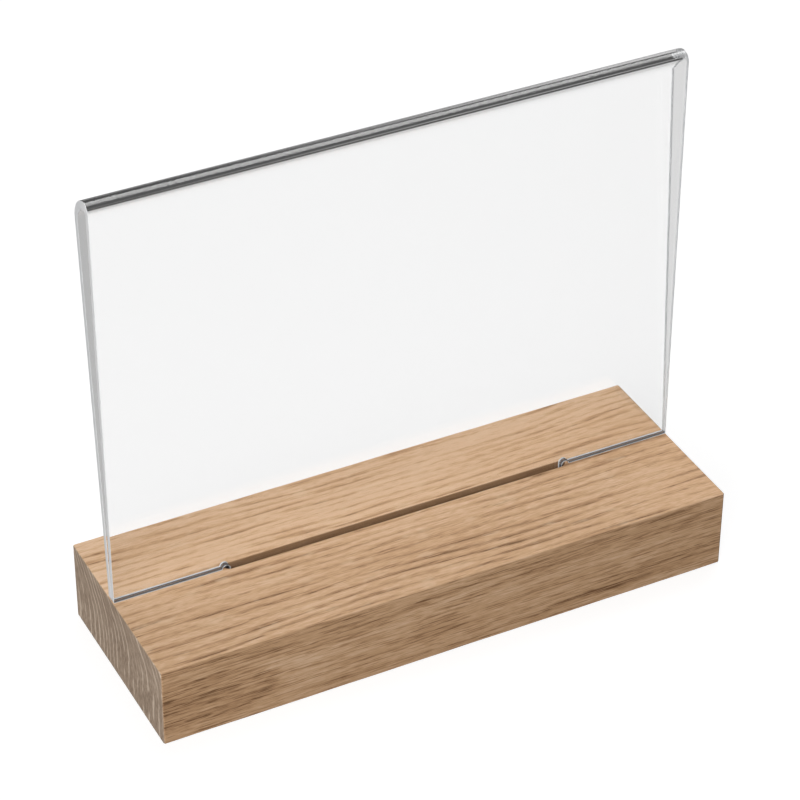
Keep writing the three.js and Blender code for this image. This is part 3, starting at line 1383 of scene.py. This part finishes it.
@dataclass
class Studio:
    """The floor, the lamps, the surroundings and the camera."""

    floor_size: float = 12000.0
    key_place: Triple = (350.0, 420.0, 1250.0)
    key_size: float = 800.0
    key_power: float = 6.7
    fill_place: Triple = (-930.0, -800.0, 600.0)
    fill_size: float = 900.0
    fill_power: float = 13.0
    ambient: float = 0.28
    upper_grey: float = 0.14
    upper_limits: Span = (0.20, 0.48)
    mirrored_grey: float = 0.10
    ceiling_grey: float = 5.0
    ceiling_limits: Span = (0.82, 0.97)
    camera_target: Triple = (0.49, 3.30, 77.16)
    camera_azimuth: float = -27.193
    camera_elevation: float = 35.627
    camera_roll: float = 0.328
    camera_distance: float = 1010.4
    camera_lens: float = 137.672
    camera_clip: Span = (0.01, 100.0)
    floor_finish: FloorFinish = field(default_factory=FloorFinish)

    def lay_floor(self) -> None:
        """Lays the floor under the block."""
        half = self.floor_size / 2
        sign = np.array([[-1.0, -1.0, 0.0], [1.0, -1.0, 0.0], [1.0, 1.0, 0.0], [-1.0, 1.0, 0.0]])
        mesh = bpy.data.meshes.new("floor")
        mesh.from_pydata((sign * half * MM).tolist(), [], [[0, 1, 2, 3]])
        mesh.materials.append(self.floor_finish.material())
        floor = bpy.data.objects.new("floor", mesh)
        bpy.context.scene.collection.objects.link(floor)

    def hang_lamp(self, name: str, place: Triple, size: float, power: float) -> None:
        """Hangs a square soft lamp that faces the object's middle and isn't seen through the clear sheet.

        Args:
            name: The lamp's name.
            place: Where it hangs.
            size: Its side.
            power: Its power in watts.
        """
        data = bpy.data.lights.new(name, "AREA")
        data.shape = "SQUARE"
        data.size = size * MM
        data.energy = power
        lamp = bpy.data.objects.new(name, data)
        lamp.location = Vector(place) * MM
        towards = Vector(self.camera_target) - Vector(place)
        lamp.rotation_euler = towards.to_track_quat("-Z", "Y").to_euler()
        lamp.visible_transmission = False
        bpy.context.scene.collection.objects.link(lamp)

    def set_surroundings(self) -> None:
        """Makes the surroundings: white to the eye and even for soft light.

        Through the clear sheet they are white near the floor and grey higher up. In a mirrored view they
        are dim but for a bright patch of ceiling round the key lamp.
        """
        world = bpy.data.worlds.new("surroundings")
        bpy.context.scene.world = world
        world.use_nodes = True
        sheet = NodeSheet(world.node_tree)
        sight = Sight.read(sheet)
        outward = sheet.add("ShaderNodeTexCoord").outputs["Generated"]
        _, _, rise = sheet.apart(outward)
        towards_key = (Vector(self.key_place) - Vector(self.camera_target)).normalized()
        facing = sheet.vector("DOT_PRODUCT", outward, tuple(towards_key)).outputs["Value"]
        ceiling = sheet.spread(facing, self.ceiling_limits, (0.0, self.ceiling_grey))
        room = sheet.spread(rise, self.upper_limits, (1.0, self.upper_grey))
        soft = sheet.math("SUBTRACT", 1.0, sheet.math("ADD", sight.through, sight.mirrored))
        strength = sheet.total(
            sheet.product(soft, self.ambient),
            (sight.through, room),
            (sight.mirrored, self.mirrored_grey),
            (sight.mirrored_outside, ceiling),
        )
        strength = sheet.math("MAXIMUM", strength, sight.direct)
        background = sheet.feed(sheet.add("ShaderNodeBackground"), {"Strength": strength})
        sheet.feed(sheet.add("ShaderNodeOutputWorld"), {"Surface": background.outputs[0]})

    def set_camera(self) -> None:
        """Sets the camera round its target by azimuth, elevation and roll, as in the photograph."""
        azimuth, elevation = math.radians(self.camera_azimuth), math.radians(self.camera_elevation)
        level = math.cos(elevation)
        back = Vector((math.sin(azimuth) * level, -math.cos(azimuth) * level, math.sin(elevation)))
        right = Vector((0.0, 0.0, 1.0)).cross(back).normalized()
        up = back.cross(right)
        roll = math.radians(self.camera_roll)
        turned_right = right * math.cos(roll) + up * math.sin(roll)
        turned_up = up * math.cos(roll) - right * math.sin(roll)
        data = bpy.data.cameras.new("camera")
        data.lens = self.camera_lens
        data.clip_start, data.clip_end = self.camera_clip
        camera = bpy.data.objects.new("camera", data)
        bpy.context.scene.collection.objects.link(camera)
        rotation = Matrix((turned_right, turned_up, back)).transposed()
        place = (Vector(self.camera_target) + back * self.camera_distance) * MM
        camera.matrix_world = Matrix.Translation(place) @ rotation.to_4x4()
        bpy.context.scene.camera = camera

    def build(self) -> None:
        """Builds the whole studio."""
        bpy.context.scene.view_settings.view_transform = "Standard"
        self.lay_floor()
        self.hang_lamp("key", self.key_place, self.key_size, self.key_power)
        self.hang_lamp("fill", self.fill_place, self.fill_size, self.fill_power)
        self.set_surroundings()
        self.set_camera()


def write_sizes() -> None:
    """Brings the scene's placements up to date."""
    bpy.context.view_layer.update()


def main() -> None:
    """Builds the pieces in order and reports each one."""
    logging.basicConfig(level=logging.INFO, format="%(name)s: %(message)s")
    for maker in (OakBlock(), AcrylicSleeve()):
        piece = maker.build()
        LOG.info("%s: %d points, %d faces", piece.name, len(piece.data.vertices), len(piece.data.polygons))
    Studio().build()
    write_sizes()


if __name__ == "__main__":
    main()
